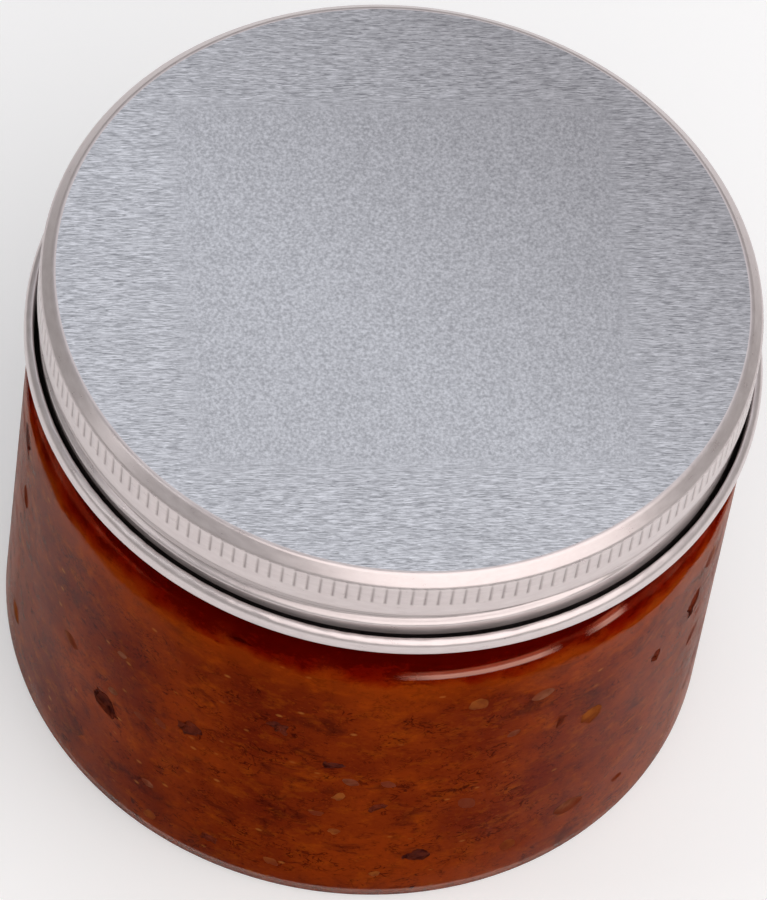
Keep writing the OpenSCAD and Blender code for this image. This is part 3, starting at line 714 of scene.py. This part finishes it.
outer = [(r, lid_top) for r in panel_rings]
panel_to = len(outer) + 1
rim_outer = arc(*rim_centre, rim_curve, 90, 48, 8)
flare = arc(*band_centre, band_edge, 47, 24, 5)
slope = tuple((rim_outer[-1][i] + flare[0][i]) / 2 - crease_cut for i in (0, 1))
outer += rim_outer + [slope] + flare
coarse_to = len(outer)
for depth in band_depths:
    rise = depth * MM - crease_depth - band_edge
    out = band_radius if rise >= 0 else band_radius - band_edge + math.sqrt(band_edge**2 - rise**2)
    outer.append((out, lid_top - depth * MM))
fine_to = len(outer)
outer += line((band_radius, plain_band_top), (band_radius, step_height + step_edge), 4)
outer += arc(band_radius - step_edge, step_height + step_edge, step_edge, 0, -78, 6)[1:]
outer += [step_foot]
skirt_from = len(outer)
outer += line((skirt_radius, skirt_top), (skirt_radius, curl_centre[1]), 40)
skirt_to = len(outer)
curl_top = (curl_centre[0], curl_centre[1] + curl_rise)
outer += arc(*curl_centre, curl_radius - sheet, 180, 360, 14)[1:]
outer += arc(*curl_top, curl_radius - sheet, 0, curl_turn, 6)
edge_from = len(outer)
outer += arc(*curl_top, curl_radius, curl_turn, 0, 10)
outer += arc(*curl_centre, curl_radius, 0, -180, 22)
inner_from = len(outer)
inner = line((skirt_inside, skirt_inside_foot), (skirt_inside, skirt_inside_top), 36)
inner_to = inner_from + len(inner)
inner += step_inside + line((band_inside, band_inside_foot), (band_inside, band_centre[1]), 3)
inner += arc(*band_centre, band_edge - sheet, 0, 80, 5)[1:]
inner += [(cap_radius - sheet, lid_top - crease_depth - sheet)]
inner += arc(*rim_centre, rim_curve - sheet, 0, 90, 6)
inner += [(r, lid_top - sheet) for r in panel_inside_rings]
knurl_angle = math.tau / knurl_count
across = [-0.5 * knurl_angle * band_radius, -knurl_half_width, -0.5 * knurl_half_width, 0,
          0.5 * knurl_half_width, knurl_half_width]
drawn_lid = turned_mesh(
    "drawn_lid", outer + inner,
    [knurl_angle * (i + 0.5) + a / band_radius for i in range(knurl_count) for a in across],
    {"threaded": [(skirt_from, skirt_to), (inner_from, inner_to)], "knurled": [(coarse_to, fine_to)],
     "panel": [(0, panel_to)], "cut": [(edge_from - 2, edge_from + 5)],
     "shaded": [(skirt_from - 5, skirt_from + 8)], "sheltered": [(skirt_to - 10, skirt_to + 5)]},
    (coarse_to, fine_to))

# Brushed aluminium panel: short fine scratches across the sheet, and a plain matt square in the
# middle, grained the same way in both directions. The scratches are drawn 0.13 mm wide and the
# grit 0.4 mm, as coarse as they have to be to show.
square_edge = 24.5 * MM
square_fade = 3 * MM
brushed, tree = new_material("brushed_aluminium_panel")
place = add_node(tree, "ShaderNodeTexCoord")["Object"]
lined_up = add_node(tree, "ShaderNodeMapping", {"Vector": place, "Rotation": (0, 0, math.radians(-11.5))})[0]
stretched = add_node(tree, "ShaderNodeMapping", {"Vector": lined_up, "Scale": (0.1, 1.0, 1.0)})[0]
hairs = add_node(tree, "ShaderNodeTexNoise", {
    "Vector": stretched, "Scale": 7600.0, "Detail": 3.0, "Roughness": 0.65, "Distortion": 0.7})["Fac"]
grit = add_node(tree, "ShaderNodeTexNoise", {
    "Vector": lined_up, "Scale": 2600.0, "Detail": 2.0, "Roughness": 0.7})["Fac"]
parts = add_node(tree, "ShaderNodeSeparateXYZ", {0: lined_up})
sideways, upwards = [
    add_node(tree, "ShaderNodeMath", {0: parts[axis]}, operation="ABSOLUTE")[0] for axis in ("X", "Y")]
farther = add_node(tree, "ShaderNodeMath", {0: sideways, 1: upwards}, operation="MAXIMUM")[0]
in_square = add_node(tree, "ShaderNodeMapRange", {
    0: farther, 1: square_edge + square_fade, 2: square_edge, 3: 0.0, 4: 1.0})[0]
softened = add_node(tree, "ShaderNodeMapRange", {0: grit, 1: 0.3, 2: 0.7, 3: 0.4, 4: 0.58})[0]
grain = add_node(tree, "ShaderNodeMix", {0: in_square, 2: hairs, 3: softened})[0]
colour = tinted(tree, linear("#9C9DA2"), grain, 0.34, 0.66, 1.0, "#F4F4F8")
# The sheet's colour darkens towards the back right, which stands in for uneven light
backwards = add_node(tree, "ShaderNodeVectorMath", {0: place, 1: (9.0, 15.0, 0.0)},
                     operation="DOT_PRODUCT")["Value"]
dim = add_node(tree, "ShaderNodeMapRange", {0: backwards, 1: -0.15, 2: 0.6, 3: 0.0, 4: 0.8})[0]
darker = add_node(tree, "ShaderNodeMix", {0: 1.0, 6: colour, 7: linear("#D0CCCB")}, data_type="RGBA",
                  blend_type="MULTIPLY")[2]
colour = add_node(tree, "ShaderNodeMix", {0: dim, 6: colour, 7: darker}, data_type="RGBA")[2]
rough = add_node(tree, "ShaderNodeMapRange", {0: grain, 1: 0.34, 2: 0.66, 3: 0.46, 4: 0.36})[0]
scratched = add_node(tree, "ShaderNodeBump", {"Strength": 0.5, "Distance": 0.02 * MM, "Height": grain})[0]
surface = add_node(tree, "ShaderNodeBsdfPrincipled", {
    "Base Color": colour, "Metallic": 1.0, "Roughness": rough, "Normal": scratched})[0]
add_node(tree, "ShaderNodeOutputMaterial", {"Surface": surface})

# Drawn aluminium: the side of the lid, smoothed by the tools and clear-lacquered, so it is satin
# with faint drawing marks.
satin, tree = new_material("drawn_aluminium_lacquered")
place = add_node(tree, "ShaderNodeTexCoord")["Object"]
stretched = add_node(tree, "ShaderNodeMapping", {"Vector": place, "Scale": (1.0, 1.0, 4.0)})[0]
marks = add_node(tree, "ShaderNodeTexNoise", {
    "Vector": stretched, "Scale": 420.0, "Detail": 4.0, "Roughness": 0.65})["Fac"]
colour = tinted(tree, linear("#CFC4C3"), marks, 0.3, 0.7, 1.0, "#DBD1D0")
# Three darker tones stand in for shade: one in the knurls' dents, one under the band, and a near
# black in the trough behind the curl
for flag, most, tone in (
        ("dented", 0.75, "#7C7170"), ("shaded", 0.45, "#8A8281"), ("sheltered", 1.0, "#242020")):
    share = add_node(tree, "ShaderNodeAttribute", attribute_name=flag)["Fac"]
    share = add_node(tree, "ShaderNodeMath", {0: share, 1: most}, operation="MULTIPLY")[0]
    colour = add_node(tree, "ShaderNodeMix", {0: share, 6: colour, 7: linear(tone)}, data_type="RGBA")[2]
rough = add_node(tree, "ShaderNodeMapRange", {0: marks, 1: 0.3, 2: 0.7, 3: 0.27, 4: 0.35})[0]
marked = add_node(tree, "ShaderNodeBump", {"Strength": 0.08, "Distance": 0.05 * MM, "Height": marks})[0]
surface = add_node(tree, "ShaderNodeBsdfPrincipled", {
    "Base Color": colour, "Metallic": 0.75, "Roughness": rough, "Specular IOR Level": 0.3,
    "Normal": marked})[0]
add_node(tree, "ShaderNodeOutputMaterial", {"Surface": surface})

# The knurls: a rounded dent at every step round the band, which fades in at its top and deepens
# towards its foot.
press, given = new_growth("pressed lid", {**knurls, **lid_thread})
position = add_node(press, "GeometryNodeInputPosition")[0]
parts = add_node(press, "ShaderNodeSeparateXYZ", {0: position})
angle = add_node(press, "ShaderNodeMath", {0: parts["Y"], 1: parts["X"]}, operation="ARCTAN2")[0]
turn = add_node(press, "ShaderNodeMath", {0: angle, 1: math.tau}, operation="DIVIDE")[0]
number = add_node(press, "ShaderNodeMath", {0: turn, 1: given["Knurls"]}, operation="MULTIPLY")[0]
around = add_node(press, "ShaderNodeMath", {0: given["Band radius"], 1: math.tau}, operation="MULTIPLY")[0]
spacing = add_node(press, "ShaderNodeMath", {0: around, 1: given["Knurls"]}, operation="DIVIDE")[0]
distance = number
for operation, value in (("FRACT", 0.0), ("SUBTRACT", 0.5), ("ABSOLUTE", 0.0), ("MULTIPLY", spacing)):
    distance = add_node(press, "ShaderNodeMath", {0: distance, 1: value}, operation=operation)[0]
dent = add_node(press, "ShaderNodeMapRange", {
    0: distance, 1: given["Knurl half width"], 2: 0.0, 3: 0.0, 4: 1.0}, interpolation_type="SMOOTHSTEP")[0]
below_top, above_foot = [
    add_node(press, "ShaderNodeMath", {0: upper, 1: lower}, operation="SUBTRACT")[0]
    for upper, lower in ((given["Knurl top"], parts["Z"]), (parts["Z"], given["Knurl foot"]))]
fade_in = add_node(press, "ShaderNodeMapRange", {0: below_top, 1: 0.0, 2: 0.5 * MM, 3: 0.0, 4: 1.0})[0]
fade_out = add_node(press, "ShaderNodeMapRange", {
    0: above_foot, 1: 0.0, 2: 0.22 * MM, 3: 0.0, 4: 1.0}, interpolation_type="SMOOTHSTEP")[0]
deep = add_node(press, "ShaderNodeMapRange", {0: above_foot, 1: 3.0 * MM, 2: 0.3 * MM, 3: 0.7, 4: 1.0})[0]
knurled = add_node(press, "GeometryNodeInputNamedAttribute", {"Name": "knurled"})["Attribute"]
for share in (fade_in, fade_out, deep, knurled):
    dent = add_node(press, "ShaderNodeMath", {0: dent, 1: share}, operation="MULTIPLY")[0]
marked = add_node(press, "GeometryNodeStoreNamedAttribute", {
    "Geometry": given["Geometry"], "Name": "dented", "Value": dent}, domain="POINT", data_type="FLOAT")[0]
dent = add_node(press, "ShaderNodeMath", {0: dent, 1: given["Knurl depth"]}, operation="MULTIPLY")[0]
inwards = level_direction(press, position, -1)
offset = add_node(press, "ShaderNodeVectorMath", {0: inwards, "Scale": dent}, operation="SCALE")[0]
dented = add_node(press, "GeometryNodeSetPosition", {"Geometry": marked, "Offset": offset})[0]
# The cut edge of the curl is a little ragged
torn = add_node(press, "ShaderNodeTexNoise", {"Vector": position, "Scale": 900.0, "Detail": 3.0})["Fac"]
torn = add_node(press, "ShaderNodeMapRange", {0: torn, 1: 0.3, 2: 0.7, 3: -0.07 * MM, 4: 0.05 * MM})[0]
cut = add_node(press, "GeometryNodeInputNamedAttribute", {"Name": "cut"})["Attribute"]
torn = add_node(press, "ShaderNodeMath", {0: torn, 1: cut}, operation="MULTIPLY")[0]
torn = add_node(press, "ShaderNodeCombineXYZ", {2: torn})[0]
edged = add_node(press, "GeometryNodeSetPosition", {"Geometry": dented, "Offset": torn})[0]
finish_threaded(press, given, edged, satin, "panel", brushed)
grow(drawn_lid, press, {})
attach(drawn_lid, "lid")
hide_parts("lid_shell")

# The studio: a pale floor, a soft sky and soft lamps. None of it is part of the jar. The floor
# has a small glow that only the camera and reflections see.
floor_half = 6.0
floor_glow = 0.22
jar_middle = 40 * MM
floor_mesh = bpy.data.meshes.new("floor")
floor_mesh.from_pydata([(x * floor_half, y * floor_half, 0) for x, y in ((-1, -1), (1, -1), (1, 1), (-1, 1))],
                       [], [(0, 1, 2, 3)])
floor = bpy.data.objects.new("floor", floor_mesh)
bpy.context.collection.objects.link(floor)
pale, tree = new_material("pale_paper_floor")
path = add_node(tree, "ShaderNodeLightPath")
seen = path["Is Camera Ray"]
for ray in ("Is Glossy Ray", "Is Transmission Ray"):
    seen = add_node(tree, "ShaderNodeMath", {0: seen, 1: path[ray]}, operation="MAXIMUM")[0]
lift = add_node(tree, "ShaderNodeMath", {0: seen, 1: floor_glow}, operation="MULTIPLY")[0]
paper = add_node(tree, "ShaderNodeBsdfDiffuse", {"Color": linear("#F0F1F1")})[0]
glow = add_node(tree, "ShaderNodeEmission", {"Color": linear("#FFFFFF"), "Strength": lift})[0]
lifted = add_node(tree, "ShaderNodeAddShader", {0: paper, 1: glow})[0]
add_node(tree, "ShaderNodeOutputMaterial", {"Surface": lifted})
pale.cycles.emission_sampling = "NONE"
floor.data.materials.append(pale)

world = bpy.data.worlds.new("soft_sky")
bpy.context.scene.world = world
world.use_nodes = True
tree = world.node_tree
tree.nodes.clear()
direction = add_node(tree, "ShaderNodeTexCoord")["Generated"]
up = add_node(tree, "ShaderNodeSeparateXYZ", {0: direction})["Z"]
sky = tinted(tree, linear("#94928F"), up, 0.0, 1.0, 1.0, "#A2A4A8")
background = add_node(tree, "ShaderNodeBackground", {"Color": sky, "Strength": 1.0})[0]
add_node(tree, "ShaderNodeOutputWorld", {"Surface": background})


def softbox(name, azimuth, elevation, away, width, depth, radiance, colour):
    """A soft rectangular lamp that faces the jar: its azimuth runs from the front towards the right."""
    lamp = bpy.data.lights.new(name, "AREA")
    lamp.shape = "RECTANGLE"
    lamp.size = width
    lamp.size_y = depth
    lamp.energy = radiance * math.pi * width * depth
    lamp.color = linear(colour)[:3]
    holder = bpy.data.objects.new(name, lamp)
    a, e = math.radians(azimuth), math.radians(elevation)
    towards = Vector((math.cos(e) * math.sin(a), -math.cos(e) * math.cos(a), math.sin(e)))
    holder.location = Vector((0, 0, jar_middle)) + away * towards
    holder.rotation_euler = towards.to_track_quat("Z", "Y").to_euler()
    bpy.context.collection.objects.link(holder)


softbox("key_softbox", 40, 55, 0.9, 1.2, 1.1, 1.6, "#FFF8F5")
softbox("left_strip", -75, 45, 0.8, 0.12, 0.6, 1.6, "#FFFFFF")
softbox("back_softbox", 185, 56, 1.0, 0.9, 0.8, 0.55, "#F4F7FF")

# The camera looks down at the jar from the front, far away and with a long lens.
camera_data = bpy.data.cameras.new("camera")
camera = bpy.data.objects.new("camera", camera_data)
bpy.context.collection.objects.link(camera)
bpy.context.scene.camera = camera
image_size = (767, 900)
focal_pixels = 7367.6
lid_depth = 859.27 * MM
lid_pixel = (404.29, 282.5)
elevation = math.radians(54.33)
roll = math.radians(-9.366)
forward = Vector((0, math.cos(elevation), -math.sin(elevation)))
level_down = Vector((0, -math.sin(elevation), -math.cos(elevation)))
sideways = Vector((1, 0, 0))
right = math.cos(roll) * sideways + math.sin(roll) * level_down
down = -math.sin(roll) * sideways + math.cos(roll) * level_down
off_right = (lid_pixel[0] - image_size[0] / 2) / focal_pixels
off_down = (lid_pixel[1] - image_size[1] / 2) / focal_pixels
spot = Vector((0, 0, lid_top)) - lid_depth * (off_right * right + off_down * down + forward)
camera.matrix_world = Matrix((
    (right.x, -down.x, -forward.x, spot.x), (right.y, -down.y, -forward.y, spot.y),
    (right.z, -down.z, -forward.z, spot.z), (0, 0, 0, 1)))
camera_data.sensor_width = 36
camera_data.sensor_fit = "AUTO"
camera_data.lens = focal_pixels * camera_data.sensor_width / max(image_size)
camera_data.clip_start = 0.05
camera_data.clip_end = 50
bpy.context.scene.view_settings.view_transform = "Standard"
